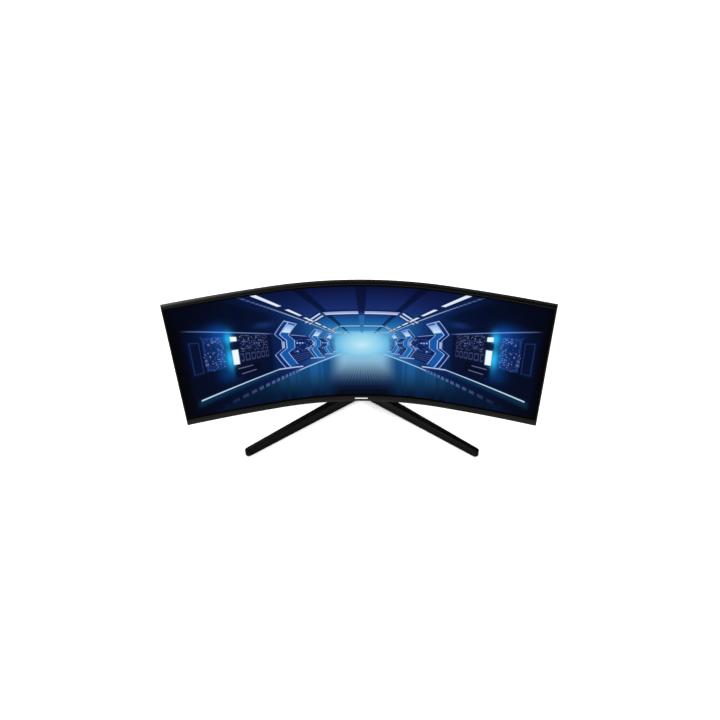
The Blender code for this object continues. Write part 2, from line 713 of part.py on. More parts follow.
def joystick():
    """A five-way button: a gimbal tips up and down in its housing, a stem side to side in it, and the
    cap slides on the stem."""
    box("jog_board", (-0.009, 0.0110, -0.009), (0.009, 0.0124, 0.009), JOG, BOARD)
    housing = box(
        "jog_switch_housing", (-0.0060, 0.0127, -0.0060), (0.0060, 0.0205, 0.0060), JOG, FRAME_PLASTIC
    )
    cut(housing, box("jog_hollow", (-0.0046, 0.0150, -0.0046), (0.0046, 0.03, 0.0046), JOG))
    gimbal = box("jog_gimbal", (-0.0038, 0.0175, -0.0038), (0.0038, 0.0205, 0.0038), JOG, ALUMINIUM)
    cut(gimbal, box("gimbal_hollow", (-0.0027, 0.01, -0.0027), (0.0027, 0.03, 0.0027), JOG))
    rod("jog_stem", 0.0020, (0, 0.0162, 0), 0.0138, "y", JOG, STEEL, sides=16)
    cap = rod("jog_button", 0.0065, (0, 0.0269, 0), 0.0086, "y", JOG, BLACK, sides=28)
    bore = rod("jog_bore", 0.0023, (0, 0.0259, 0), 0.0053, "y", JOG, sides=16)
    dimple = rod("jog_dimple", 0.0010, (0, 0.0345, 0), 0.0012, "y", JOG, sides=28, end_radius=0.0052)
    cut(bevel(cap, 0.0008), bore, dimple)


def monitor():
    screen_stack()
    port_ways = ports()
    boards(port_ways)
    rear_cover(port_ways)
    mount()
    head_bracket()
    hinge_cover()
    hinge_hardware()
    neck()
    base()
    joystick()


monitor()
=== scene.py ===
"""Looks of a curved ultrawide desktop monitor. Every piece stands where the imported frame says.

Metres, +Z up, the screen faces -Y. Pieces of the head are described from the middle of the screen's
front: along the curve, behind the front (depth), and above the middle (up).
"""

import itertools
import json
import math

import bmesh
import bpy
from mathutils import Matrix, Vector


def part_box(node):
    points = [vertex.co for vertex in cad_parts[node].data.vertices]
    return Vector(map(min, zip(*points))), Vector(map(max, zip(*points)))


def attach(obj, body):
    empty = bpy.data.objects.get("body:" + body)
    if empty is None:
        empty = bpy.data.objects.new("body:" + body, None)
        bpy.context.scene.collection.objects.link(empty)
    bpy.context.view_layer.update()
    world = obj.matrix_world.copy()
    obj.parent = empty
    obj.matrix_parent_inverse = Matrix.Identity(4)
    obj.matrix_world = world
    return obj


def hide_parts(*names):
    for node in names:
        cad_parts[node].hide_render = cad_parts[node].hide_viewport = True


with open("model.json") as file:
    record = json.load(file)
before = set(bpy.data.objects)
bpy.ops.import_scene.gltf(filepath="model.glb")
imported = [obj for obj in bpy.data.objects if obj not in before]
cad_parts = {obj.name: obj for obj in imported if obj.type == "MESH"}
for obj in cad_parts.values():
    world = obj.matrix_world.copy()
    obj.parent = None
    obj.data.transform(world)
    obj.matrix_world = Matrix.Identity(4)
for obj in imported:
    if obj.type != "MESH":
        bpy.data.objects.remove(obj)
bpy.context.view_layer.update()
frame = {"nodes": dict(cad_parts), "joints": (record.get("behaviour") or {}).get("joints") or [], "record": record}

# Places from the frame.
JOINTS = {joint["name"]: joint for joint in frame["joints"]}
TILT_AXIS = Vector(JOINTS["head_tilt"]["pos_m"])
JOG_PIVOT_AT = Vector(JOINTS["jog_up_down"]["pos_m"])
JOG_OUT = -Vector(JOINTS["jog_press"]["axis"])
BEZEL_LOW, BEZEL_HIGH = [corner.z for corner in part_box("front_bezel")]
BASE_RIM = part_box("base_cover")[0].z

# The head's driving dimensions, as in the CAD.
AXIS_BEHIND = 0.072
SCREEN_Y = TILT_AXIS.y - AXIS_BEHIND
HEAD_Z = (BEZEL_LOW + BEZEL_HIGH) / 2
HALF_HEIGHT = (BEZEL_HIGH - BEZEL_LOW) / 2
HALF_ARC = 0.4071
TIGHT_HALF, TIGHT_RADIUS, WIDE_RADIUS = 0.183, 0.838, 3.333
SEAM_DEPTH, EDGE_DEPTH = 0.0070, 0.0135
BEZEL_WALL, COVER_WALL = 0.0016, 0.0022
LIP, CHIN = 0.003, 0.0185
MOUNT_FACE = 0.050
FLAT_ACROSS, REACH_ACROSS = 0.075, 0.360
FLAT_UP, REACH_UP, FLAT_DOWN, REACH_DOWN = 0.075, 0.165, 0.100, 0.165
BAY_LOW, BAY_HIGH = Vector((-0.162, 0.014, -0.150)), Vector((-0.080, 0.080, -0.1022))
DISH_FLOOR, DISH_RADIUS, JOG_DEPTH = 0.025, 0.0125, 0.019

# Details of the rear cover: (along, up, half width, half height), and the heights of its two grooves.
LABEL = (0.190, -0.060, 0.045, 0.017)
LOCK = (-0.235, -0.128, 0.0037, 0.0017)
BELTS = (0.0905, -0.1000)

# The panel, and the lit picture on it.
PANEL_HALF_ARC, PANEL_LOW, PANEL_HIGH, PANEL_BACK = 0.4051, -0.1660, 0.1809, 0.0033
PICTURE_HALF_ARC = 0.3986
PICTURE_LOW, PICTURE_HIGH = -0.1588, 0.1749
PICTURE_UNIT = (PICTURE_HIGH - PICTURE_LOW) / 2
VANISHING_ALONG, VANISHING_UP = 0.0045, 0.0040
GLASS_DEPTH = 0.0009

# The stand's driving dimensions, as in the CAD.
NECK_LEAN = math.radians(17.5)
NECK_HALF_WIDTH, NECK_HALF_THICK = 0.025, 0.013
LEG_TURN, APEX_Y = math.radians(35.3), 0.0522
LEG_ROUND_START, LEG_ROUND = 0.3234, 0.0080
LEG_REAR_ROOT, LEG_REAR_TAPER = 0.0295, 0.0431
LEG_FRONT_ROOT, LEG_FRONT_TAPER = 0.0115, 0.0180
LEG_TOP, LEG_LIP = 0.0175, 0.0022
HUB_FRONT, HUB_REAR, HUB_TOP = 0.060, 0.1363, 0.024
NECK_FOOT_Y = 0.1019


# ---- shapes


def curve_at(along):
    """The screen front's place across and behind, and its turn, at this length from its middle."""
    tight = max(-TIGHT_HALF, min(TIGHT_HALF, along))
    turn = tight / TIGHT_RADIUS
    rest = along - tight
    chord = turn + rest / WIDE_RADIUS / 2
    across = TIGHT_RADIUS * math.sin(turn) + rest * math.cos(chord)
    behind = TIGHT_RADIUS * (math.cos(turn) - 1) - rest * math.sin(chord)
    return across, behind, turn + rest / WIDE_RADIUS


def bent(along, depth, up):
    """A point of the curved head, from its length along the curve, its depth and its height."""
    across, behind, turn = curve_at(along)
    return head_place(across + depth * math.sin(turn), behind + depth * math.cos(turn), up)


def head_place(across, behind, up):
    return Vector((across, SCREEN_Y + behind, HEAD_Z + up))


def add_mesh(name, shape, angle=35):
    """The bmesh as an object, shaded smooth apart from edges sharper than the angle."""
    bmesh.ops.recalc_face_normals(shape, faces=shape.faces)
    mesh = bpy.data.meshes.new(name)
    shape.to_mesh(mesh)
    shape.free()
    mesh.shade_smooth()
    mesh.set_sharp_from_angle(angle=math.radians(angle))
    made = bpy.data.objects.new(name, mesh)
    bpy.context.scene.collection.objects.link(made)
    return made


def settle(piece, angle=35):
    """Applies the piece's modifiers."""
    bpy.context.view_layer.update()
    seen = piece.evaluated_get(bpy.context.evaluated_depsgraph_get())
    mesh = bpy.data.meshes.new_from_object(seen)
    piece.modifiers.clear()
    piece.data = mesh
    mesh.shade_smooth()
    mesh.set_sharp_from_angle(angle=math.radians(angle))
    return piece


def combine(piece, operation, others, solver="EXACT"):
    """Applies one Boolean after another and removes the other shapes."""
    for other in others:
        step = piece.modifiers.new("combine", "BOOLEAN")
        step.operation = operation
        step.solver = solver
        step.object = other
        settle(piece)
        bpy.data.objects.remove(other)
    return piece


def bevel(piece, width, segments, angle=30, limit="ANGLE"):
    step = piece.modifiers.new("edges", "BEVEL")
    step.width = width
    step.segments = segments
    step.limit_method = limit
    step.angle_limit = math.radians(angle)
    return settle(piece)


def block(name, low, high):
    shape = bmesh.new()
    low, high = Vector(low), Vector(high)
    place = Matrix.LocRotScale((low + high) / 2, None, high - low)
    bmesh.ops.create_cube(shape, size=1, matrix=place)
    return add_mesh(name, shape)


def loft(name, rings, closed=False, angle=35):
    """Skin over rings of points, capped at its two ends or closed on itself."""
    shape = bmesh.new()
    made = [[shape.verts.new(point) for point in ring] for ring in rings]
    pairs = list(zip(made, made[1:]))
    if closed:
        pairs.append((made[-1], made[0]))
    for near, far in pairs:
        for a in range(len(near)):
            b = (a + 1) % len(near)
            shape.faces.new((near[a], near[b], far[b], far[a]))
    if not closed:
        shape.faces.new(made[0])
        shape.faces.new(made[-1])
    return add_mesh(name, shape, angle)


def slab(name, outline, low, high, place):
    """A flat outline given thickness; place turns (a, b, thickness) into a point."""
    return loft(name, [[place(a, b, side) for a, b in outline] for side in (low, high)])


def round_bar(name, radius, start, end, sides=32):
    """A round bar between two points."""
    start, end = Vector(start), Vector(end)
    turn = (end - start).to_track_quat("Z", "Y").to_matrix().to_4x4()
    shape = bmesh.new()
    bmesh.ops.create_cone(
        shape,
        cap_ends=True,
        segments=sides,
        radius1=radius,
        radius2=radius,
        depth=(end - start).length,
        matrix=Matrix.Translation((start + end) / 2) @ turn,
    )
    return add_mesh(name, shape)


def rounded_rectangle(left, right, low, high, radius, long_steps=160, short_steps=24, corner_steps=5):
    """Points (along, up) round a rectangle with round corners, evenly spread on each side."""
    left, right, low, high = left + radius, right - radius, low + radius, high - radius
    centres = ((right, low), (right, high), (left, high), (left, low))
    outwards = ((0, -radius), (radius, 0), (0, radius), (-radius, 0))
    points = []
    for number, (x, y) in enumerate(centres):
        last_x, last_y = centres[number - 1]
        out_x, out_y = outwards[number]
        steps = short_steps if number % 2 else long_steps
        for step in range(steps):
            part = step / steps
            points.append((last_x + (x - last_x) * part + out_x, last_y + (y - last_y) * part + out_y))
        for step in range(corner_steps):
            angle = math.radians(90 * (number - 1 + step / corner_steps))
            points.append((x + radius * math.cos(angle), y + radius * math.sin(angle)))
    return points


def around(spot, grow, radius, *steps):
    """A rounded rectangle about (along, up, half width, half height), grown on every side."""
    along, up, half_along, half_up = spot
    wide, tall = half_along + grow, half_up + grow
    return rounded_rectangle(along - wide, along + wide, up - tall, up + tall, radius, *steps)


def ease(part):
    part = max(0.0, min(1.0, part))
    return part * part * (3 - 2 * part)


def cover_depth(along, up):
    """How far behind the screen's front the rear cover's outside is."""
    sideways = 1 - ease((abs(along) - FLAT_ACROSS) / (REACH_ACROSS - FLAT_ACROSS))
    flat, reach = (FLAT_UP, REACH_UP) if up > 0 else (FLAT_DOWN, REACH_DOWN)
    upright = 1 - ease((abs(up) - flat) / (reach - flat))
    _, behind, turn = curve_at(along)
    middle = (MOUNT_FACE - behind) / math.cos(turn)
    return EDGE_DEPTH + sideways * upright * (middle - EDGE_DEPTH)


# ---- materials

MIX_FACTOR, MIX_FIRST, MIX_SECOND, MIX_RESULT = 0, 6, 7, 2
REAR_MOULDING = ((0.0014, 0.0014, 0.0017), 0.38, 0.28, 1500.0)


def field(tree, kind, inputs, output=0, **settings):
    """An output of a new shader node, with each input set to a value or linked to a Field."""
    node = tree.nodes.new("ShaderNode" + kind)
    for name, value in settings.items():
        setattr(node, name, value)
    for name, value in inputs.items():
        if isinstance(value, Field):
            tree.links.new(value.socket, node.inputs[name])
        else:
            node.inputs[name].default_value = value
    return Field(tree, node.outputs[output])


def mix(tree, mask, first, second, blend="MIX"):
    """The first colour with the second laid over it, or added, where the mask says."""
    first, second = [(*part, 1.0) if isinstance(part, tuple) else part for part in (first, second)]
    inputs = {MIX_FACTOR: mask, MIX_FIRST: first, MIX_SECOND: second}
    return field(tree, "Mix", inputs, MIX_RESULT, data_type="RGBA", blend_type=blend)


class Field:
    """A number or colour that varies over a surface, worked out with shader nodes."""

    def __init__(self, tree, socket):
        self.tree, self.socket = tree, socket

    def math(self, operation, *others):
        return field(self.tree, "Math", dict(enumerate((self, *others))), operation=operation)

    def __add__(self, other):
        return self.math("ADD", other)

    def __sub__(self, other):
        return self.math("SUBTRACT", other)

    def __mul__(self, other):
        return self.math("MULTIPLY", other)

    def __truediv__(self, other):
        return self.math("DIVIDE", other)

    def inverse(self):
        return self.math("POWER", -1.0)

    def size(self):
        return self.math("ABSOLUTE")

    def spread(self, low, high, first, last, kind="LINEAR"):
        """First up to low and last from high on."""
        ends = {"From Min": low, "From Max": high, "To Min": first, "To Max": last}
        return field(self.tree, "MapRange", {"Value": self, **ends}, interpolation_type=kind)

    def step(self, low, high):
        """0 below low and 1 above high, eased between; a higher low makes it fall instead."""
        if low > high:
            return self.spread(high, low, 1.0, 0.0, "SMOOTHSTEP")
        return self.spread(low, high, 0.0, 1.0, "SMOOTHSTEP")

    def within(self, low, high, soft):
        """1 between low and high, with soft edges."""
        return self.step(low - soft, low + soft) * self.step(high + soft, high - soft)

    def line(self, middle, half, soft):
        return (self - middle).size().step(half + soft, half)

    def turns(self):
        return self.math("FRACT")

    def zigzag(self):
        """A triangle wave from 0 to 1 over each unit."""
        return (self.turns() - 0.5).size() * 2.0


class Finish:
    """A Principled material under construction."""

    def __init__(self, name, colour, roughness, metallic=0.0, specular=0.5):
        self.material = bpy.data.materials.new(name)
        self.material.use_nodes = True
        self.tree = self.material.node_tree
        self.shader = self.tree.nodes["Principled BSDF"]
        self.colour = colour
        self.set("Base Color", (*colour, 1.0))
        self.set("Roughness", roughness)
        self.set("Metallic", metallic)
        self.set("Specular IOR Level", specular)
        self.place = field(self.tree, "TexCoord", {}, "Object")

    def set(self, name, value):
        self.shader.inputs[name].default_value = value

    def link(self, source, name):
        self.tree.links.new(source.socket, self.shader.inputs[name])

    def noise(self, scale, detail=3.0, stretch=(1.0, 1.0, 1.0)):
        place = field(self.tree, "Mapping", {"Vector": self.place, "Scale": stretch})
        return field(self.tree, "TexNoise", {"Vector": place, "Scale": scale, "Detail": detail})

    def cells(self, scale):
        return field(self.tree, "TexVoronoi", {"Vector": self.place, "Scale": scale})

    def axis(self, number):
        return field(self.tree, "SeparateXYZ", {0: self.place}, number)

    def vary(self, gloss, low, high, mask=None, second=None):
        """Roughness from low to high by one field, and the second colour where the mask says."""
        self.link(gloss.spread(0.3, 0.7, low, high), "Roughness")
        if mask:
            self.link(mix(self.tree, mask, self.colour, second), "Base Color")

    def bump(self, height, strength, distance):
        inputs = {"Height": height, "Strength": strength, "Distance": distance}
        self.link(field(self.tree, "Bump", inputs), "Normal")


def moulded(name, colour, roughness, specular, grain=2200.0):
    """Spark-eroded moulded plastic: fine grain, slight gloss changes, edges a little rubbed."""
    finish = Finish(name, colour, roughness, specular=specular)
    cloudy = finish.noise(9.0, 4.0)
    edges = field(finish.tree, "NewGeometry", {}, "Pointiness").step(0.52, 0.6)
    rubbed = edges * 0.5 + cloudy * 0.12
    finish.vary(cloudy, roughness - 0.05, roughness + 0.07, rubbed, tuple(part * 2.2 for part in colour))
    finish.bump(finish.cells(grain), 0.35, 0.00004)
    return finish


def ribbed():
    """The rear cover's plastic, with fine level ribs pressed into its raised middle."""
    finish = moulded("ribbed_moulding", *REAR_MOULDING)
    ribs_per_metre, grain = 250.0, REAR_MOULDING[-1]
    middle = finish.axis(0).size().step(REACH_ACROSS + 0.004, REACH_ACROSS)
    middle = middle * (finish.axis(2) - HEAD_Z).size().step(REACH_UP + 0.002, REACH_UP)
    ribs = (finish.axis(2) * ribs_per_metre).zigzag().step(0.3, 0.7) * middle
    finish.bump(ribs + finish.cells(grain) * 0.15, 0.55, 0.0003)
    return finish


def metal(name, colour, roughness):
    """Rolled or turned metal, with fine drawn lines and dull patches."""
    finish = Finish(name, colour, roughness, metallic=1.0)
    lines = finish.noise(300.0, 3.0, (1.0, 1.0, 30.0))
    dull = tuple(part * 0.8 for part in colour)
    finish.vary(lines, roughness - 0.06, roughness + 0.1, finish.noise(25.0), dull)
    finish.bump(lines, 0.15, 0.00002)
    return finish


def film(name, colour, roughness):
    finish = Finish(name, colour, roughness)
    tint = tuple(part * 0.94 for part in colour)
    finish.vary(finish.noise(40.0), roughness - 0.05, roughness + 0.05, finish.noise(6.0), tint)
    return finish


def board_mask():
    """Green solder mask over copper tracks, with bright pads."""
    finish = Finish("board_mask", (0.01, 0.11, 0.035), 0.35)
    tracks = (finish.axis(0) * 420.0 + finish.noise(70.0, 2.0) * 6.0).zigzag().step(0.62, 0.7)
    pads = finish.cells(160.0).step(0.16, 0.12)
    green = mix(finish.tree, tracks, (0.008, 0.085, 0.026), (0.02, 0.165, 0.055))
    finish.link(mix(finish.tree, pads, green, (0.6, 0.58, 0.5)), "Base Color")
    finish.bump(tracks + pads, 0.3, 0.00004)
    return finish


def rubber():
    finish = Finish("foot_rubber", (0.012, 0.012, 0.012), 0.8, specular=0.2)
    finish.vary(finish.noise(60.0), 0.72, 0.9, finish.noise(90.0), (0.02, 0.02, 0.02))
    finish.bump(finish.cells(1800.0), 0.4, 0.00005)
    return finish


def label_film():
    """A blank sticker."""
    finish = Finish("blank_label", (0.045, 0.046, 0.048), 0.45, specular=0.3)
    finish.vary(finish.noise(80.0), 0.4, 0.52, finish.noise(12.0), (0.038, 0.039, 0.041))
    return finish


def pale_bar():
    """The plain satin bar on the chin."""
    finish = Finish("satin_bar", (0.62, 0.63, 0.65), 0.35, metallic=0.3)
    lines = finish.noise(500.0, 2.0, (0.05, 1.0, 6.0))
    finish.vary(lines, 0.28, 0.42, lines * 0.4, (0.5, 0.51, 0.53))
    return finish


# ---- the lit picture

CEILING_LEAN, CEILING_SHIFT = 1.27, 0.045
FIRST_RIB, RIB_SPACING, LAST_RIB = 0.95, 0.6, 3.0


def shade(red, green, blue):
    """A colour given in display steps of 0 to 255, as light."""
    parts = (red / 255, green / 255, blue / 255)
    return tuple(part / 12.92 if part < 0.04 else ((part + 0.055) / 1.055) ** 2.4 for part in parts)


class Picture:
    """The lit picture: colours laid over one another, each where its mask says.

    It is a plain corridor in one-point perspective. Lengths are in half heights of the picture, from the
    vanishing point: side outwards, high upwards. Straight edges that run down the corridor keep their
    slope (high / side) or lean (side / high), and what repeats down it is evenly spaced in 1 / side.
    """

    def __init__(self, tree):
        self.tree = tree
        layout = field(tree, "UVMap", {}, uv_map="picture")
        self.across, self.high = [field(tree, "SeparateXYZ", {0: layout}, axis) for axis in (0, 1)]
        self.side = self.across.size() + 0.001
        self.tall = self.high.size() + 0.001
        self.slope = self.high / self.side
        self.lean = self.side / self.tall
        self.near = self.side.inverse()
        self.above, self.below = self.high.step(0.0, 0.02), self.high.step(0.0, -0.02)
        self.colour = None

    def ramp(self, value, *stops):
        """Colours along a value, from (place, red, green, blue) stops."""
        first, last = stops[0][0], stops[-1][0]
        colours = field(self.tree, "ValToRGB", {"Fac": (value - first) / (last - first)})
        points = colours.socket.node.color_ramp.elements
        while len(points) < len(stops):
            points.new(0.5)
        for point, (place, *colour) in zip(points, stops):
            point.position = (place - first) / (last - first)
            point.color = (*shade(*colour), 1.0)
        return colours

    def layer(self, mask, colour, blend="MIX"):
        if isinstance(colour, tuple):
            colour = shade(*colour)
        self.colour = mix(self.tree, mask, self.colour, colour, blend)

    def follow(self, value, *points):
        """A value that follows straight lines between (place, result) points."""
        (first, *_, last), (least, *_, most) = [sorted(parts) for parts in zip(*points)]
        reach, rise = last - first, most - least
        followed = field(self.tree, "FloatCurve", {"Value": (value - first) / reach})
        mapping = followed.socket.node.mapping
        curve = mapping.curves[0]
        spots = [((place - first) / reach, (result - least) / rise) for place, result in points]
        for spot in spots[1:-1]:
            curve.points.new(*spot)
        for end in (0, -1):
            curve.points[end].location[1] = spots[end][1]
        for point in curve.points:
            point.handle_type = "VECTOR"
        mapping.update()
        return followed * rise + least

    def tiles(self, u, v, wide, tall, gap, seed):
        """A chance from 0 to 1 for each tile of a grid, and the mask of the tiles without their gaps."""
        u, v = u / wide + seed, v / tall + seed
        cell = field(self.tree, "CombineXYZ", {0: u.math("FLOOR"), 1: v.math("FLOOR")})
        inside = u.turns().within(gap, 1 - gap, 0.08) * v.turns().within(gap, 1 - gap, 0.08)
        return field(self.tree, "TexWhiteNoise", {"Vector": cell}), inside


def rib_number(reach):
    """0 for the nearest rib, and 1 more for each rib behind it."""
    number = ((reach - FIRST_RIB) / RIB_SPACING).math("FLOOR")
    return number.math("MAXIMUM", 0.0).math("MINIMUM", LAST_RIB)


def corridor_shell(picture):
    """The large surfaces: side walls, ceiling, floor and the bright far end."""
    layer, ramp = picture.layer, picture.ramp
    side, high, tall, lean = picture.side, picture.high, picture.tall, picture.lean
    picture.colour = ramp(
        side, (0.25, 105, 180, 222), (0.45, 45, 115, 175), (0.62, 26, 84, 148),
        (0.8, 15, 52, 112), (1.0, 9, 36, 90), (1.25, 4, 24, 68), (1.55, 2, 17, 52),
        (1.85, 1, 10, 38), (2.12, 0, 4, 26), (2.39, 0, 0, 8),
    )
    for slope, half, strength in ((0.5, 0.05, 0.55), (0.36, 0.03, 0.4)):
        dark = picture.above * picture.slope.line(slope, half, 0.06) * side.step(0.9, 1.3)
        layer(dark * strength, (0, 3, 22))

    ceiling = (high * CEILING_LEAN + CEILING_SHIFT - side).step(-0.01, 0.01) * picture.above
    layer(ceiling, ramp(
        high, (0.0, 150, 218, 243), (0.2, 140, 208, 238), (0.26, 58, 148, 206),
        (0.33, 36, 116, 178), (0.42, 24, 92, 158), (0.5, 19, 72, 136), (0.6, 22, 48, 112),
        (0.8, 17, 34, 92), (1.03, 7, 15, 54),
    ))
    layer(ceiling * side.step(0.45, 1.1) * 0.5, (2, 20, 66))

    floor = (side * 0.47 + 0.02 + high).step(0.01, -0.01) * picture.below
    layer(floor, ramp(
        tall, (0.1, 70, 150, 205), (0.3, 24, 98, 162), (0.5, 26, 88, 146),
        (0.62, 22, 74, 118), (0.75, 12, 52, 90), (0.88, 3, 27, 56), (1.0, 1, 10, 28),
    ))
    streaks = field(picture.tree, "TexNoise", {"Scale": 7.0, "W": side}, noise_dimensions="1D")
    layer(floor * streaks.step(0.62, 0.42) * 0.45, (4, 42, 84))
    layer(floor * side.step(0.62, 1.5) * 0.85, (1, 16, 44))
    path = floor * (side - tall * 0.1).step(0.43, 0.2)
    layer(path, ramp(
        tall, (0.1, 142, 205, 232), (0.3, 134, 184, 216), (0.4, 122, 163, 192),
        (0.5, 100, 136, 164), (0.6, 66, 97, 134), (0.7, 34, 60, 98), (0.8, 9, 28, 60),
        (0.9, 2, 10, 34), (1.0, 1, 4, 16),
    ))
    grooves = (lean * 16.0).zigzag().step(0.45, 0.85) * lean.step(0.66, 0.52)
    layer(floor * grooves * tall.step(0.3, 0.55) * 0.45, (2, 10, 40))

    far_end = side.step(0.42, 0.33) * high.within(-0.19, 0.215, 0.018)
    off_middle = (side * side + high * high * 1.6).math("SQRT")
    layer(far_end, ramp(
        off_middle, (0.0, 196, 234, 248), (0.1, 170, 222, 242), (0.25, 136, 206, 236),
        (0.42, 70, 160, 212),
    ))


def corridor_ceiling(picture):
    """Beams along and across the ceiling, light strips at its sides, and a dotted line outside them."""
    layer, side, high, lean = picture.layer, picture.side, picture.high, picture.lean
    up = high.inverse()
    below_frames = picture.above * high.step(0.19, 0.25)
    layer(below_frames * lean.line(0.77, 0.05, 0.03) * 0.75, (1, 8, 40))
    middle = below_frames * lean.line(0.0, 0.065, 0.02)
    layer(middle * high.step(0.55, 0.62) * 0.7, (3, 8, 40))
    layer(middle * high.step(0.56, 0.5) * 0.6, (52, 112, 176))

    ring = high.math("MAXIMUM", (high + side * 0.75) / 1.6375)
    frame_at = (ring.inverse() - 1.724) / 1.17 + 0.5
    off_frame = frame_at.turns() - 0.5
    frames = picture.above * frame_at.within(0.0, 3.0, 0.001) * (side - ring * 1.2).step(0.01, -0.01)
    straight = frames * (side - ring * 0.82).step(0.005, -0.005) * lean.step(0.065, 0.085)
    slanted = frames * (side - ring * 0.88).step(-0.005, 0.005)
    lit = picture.ramp(high, (0.34, 112, 192, 236), (0.46, 150, 168, 218))
    layer(straight * off_frame.within(-0.12, 0.11, 0.015) * 0.8, (2, 16, 60))
    layer(straight * off_frame.within(-0.055, 0.065, 0.012), lit)
    layer(straight * off_frame.within(0.02, 0.062, 0.012), (206, 216, 244))
    layer(slanted * off_frame.within(-0.12, 0.12, 0.015) * 0.8, (2, 10, 48))
    for place in (-0.05, 0.055):
        layer(slanted * off_frame.line(place, 0.018, 0.012), (186, 206, 246))

    strip_off = (side - high * CEILING_LEAN - CEILING_SHIFT) / picture.tall
    strip = picture.above * strip_off.line(0.0, 0.03, 0.01) * high.step(0.2, 0.24)
    dash = ((up - 0.95) / 0.45).turns().within(0.02, 0.74, 0.01)
    layer(below_frames * strip_off.within(-0.07, 0.18, 0.02) * 0.6, (3, 24, 74))
    layer(strip * dash, (226, 236, 250))
    dotted = picture.above * ((side - high * 1.45 - 0.04) / picture.tall).line(0.0, 0.016, 0.012)
    dotted = dotted * (up / 0.045).turns().within(0.12, 0.8, 0.1) * high.within(0.22, 1.04, 0.04)
    layer(dotted * high.step(1.0, 0.45), (190, 212, 246))
    layer(dotted * high.step(0.45, 1.0) * 0.6, (84, 112, 178))


def corridor_walls(picture):
    """Cabinets with small lights, tall wall lamps and the thin line over them."""
    layer, tiles = picture.layer, picture.tiles
    side, high, slope, near = picture.side, picture.high, picture.slope, picture.near

    def area(first, last, low, top, soft_side, soft_slope):
        return side.within(first, last, soft_side) * slope.within(low, top, soft_slope)

    layer(area(1.18, 2.3, -0.3, 0.27, 0.04, 0.01) * 0.7, (1, 8, 36))
    blue_bay = area(1.8, 2.07, -0.085, 0.225, 0.01, 0.006)
    dark_bay = area(1.235, 1.6, -0.085, 0.262, 0.008, 0.006)
    layer(blue_bay * 0.9, (4, 34, 96))
    layer(dark_bay, (6, 12, 44))
    layer(area(2.09, 2.26, -0.1, 0.2, 0.02, 0.01) * 0.5, (2, 18, 58))
    for wide, tall, seed, common, rare in (
        (0.015, 0.034, 3.0, (26, 44, 92), (84, 100, 148)),
        (0.009, 0.014, 17.0, (44, 66, 122), (118, 130, 172)),
        (0.005, 0.01, 41.0, (14, 26, 66), (150, 164, 204)),
    ):
        chance, inside = tiles(near, slope, wide, tall, 0.16, seed)
        lights = inside * (dark_bay * slope.step(0.055, 0.065) + blue_bay)
        layer(lights * chance.step(0.58, 0.62) * 0.7, common)
        layer(lights * chance.step(0.91, 0.93) * 0.7, rare)
    for first, last, low, top in ((1.815, 2.055, -0.075, 0.215), (2.1, 2.235, -0.085, 0.185)):
        outer = area(first, last, low, top, 0.004, 0.003)
        inner = area(first + 0.014, last - 0.014, low + 0.008, top - 0.008, 0.004, 0.003)
        layer((outer - inner) * 0.35, (36, 74, 142))
    lower = dark_bay * slope.within(-0.066, 0.052, 0.004)
    for gap, strength, colour in ((0.14, 0.8, (66, 84, 140)), (0.24, 1.0, (5, 10, 40))):
        _, inside = tiles(near, slope + 0.07, 0.034, 0.125, gap, 5.0)
        layer(lower * inside * strength, colour)

    shelf = slope.line(0.277, 0.0025, 0.005) * 0.8
    layer(shelf * side.within(1.2, 2.26, 0.07) * side.step(2.5, 1.7), (124, 146, 208))
    layer(shelf * side.within(0.73, 0.93, 0.02), (176, 196, 242))
    layer(shelf * side.within(0.52, 0.6, 0.02), (176, 206, 244))

    for at_side, at_high, reach_side, reach_high, colour in (
        (1.735, 0.0, 0.048, 0.17, (40, 176, 226)),
        (1.725, 0.36, 0.055, 0.11, (34, 168, 220)),
        (1.8, 0.04, 0.1, 0.23, (4, 68, 126)),
        (1.82, 0.44, 0.11, 0.15, (2, 62, 128)),
        (1.92, 0.52, 0.18, 0.12, (2, 36, 86)),
        (1.78, -0.3, 0.13, 0.13, (1, 38, 90)),
        (1.26, 0.5, 0.11, 0.05, (18, 38, 86)),
    ):
        a, b = (side - at_side) / reach_side, (high - at_high) / reach_high
        layer(((a * a + b * b) * -1.0).math("EXPONENT"), colour, "ADD")
    lamp_heights = high.within(-0.125, 0.145, 0.008) + slope.within(0.183, 0.231, 0.003)
    layer(side.within(1.625, 1.705, 0.008) * lamp_heights, (238, 250, 255))
    layer(side.within(1.58, 1.72, 0.01) * high.within(0.165, 0.285, 0.01) * 0.85, (6, 14, 46))

    layer(area(1.36, 1.7, -0.225, -0.105, 0.02, 0.006) * 0.8, (2, 6, 28))
    for place, first, last in ((-0.128, 1.46, 1.66), (-0.196, 1.42, 1.62)):
        layer(slope.line(place, 0.003, 0.005) * side.within(first, last, 0.01) * 0.8, (104, 110, 168))


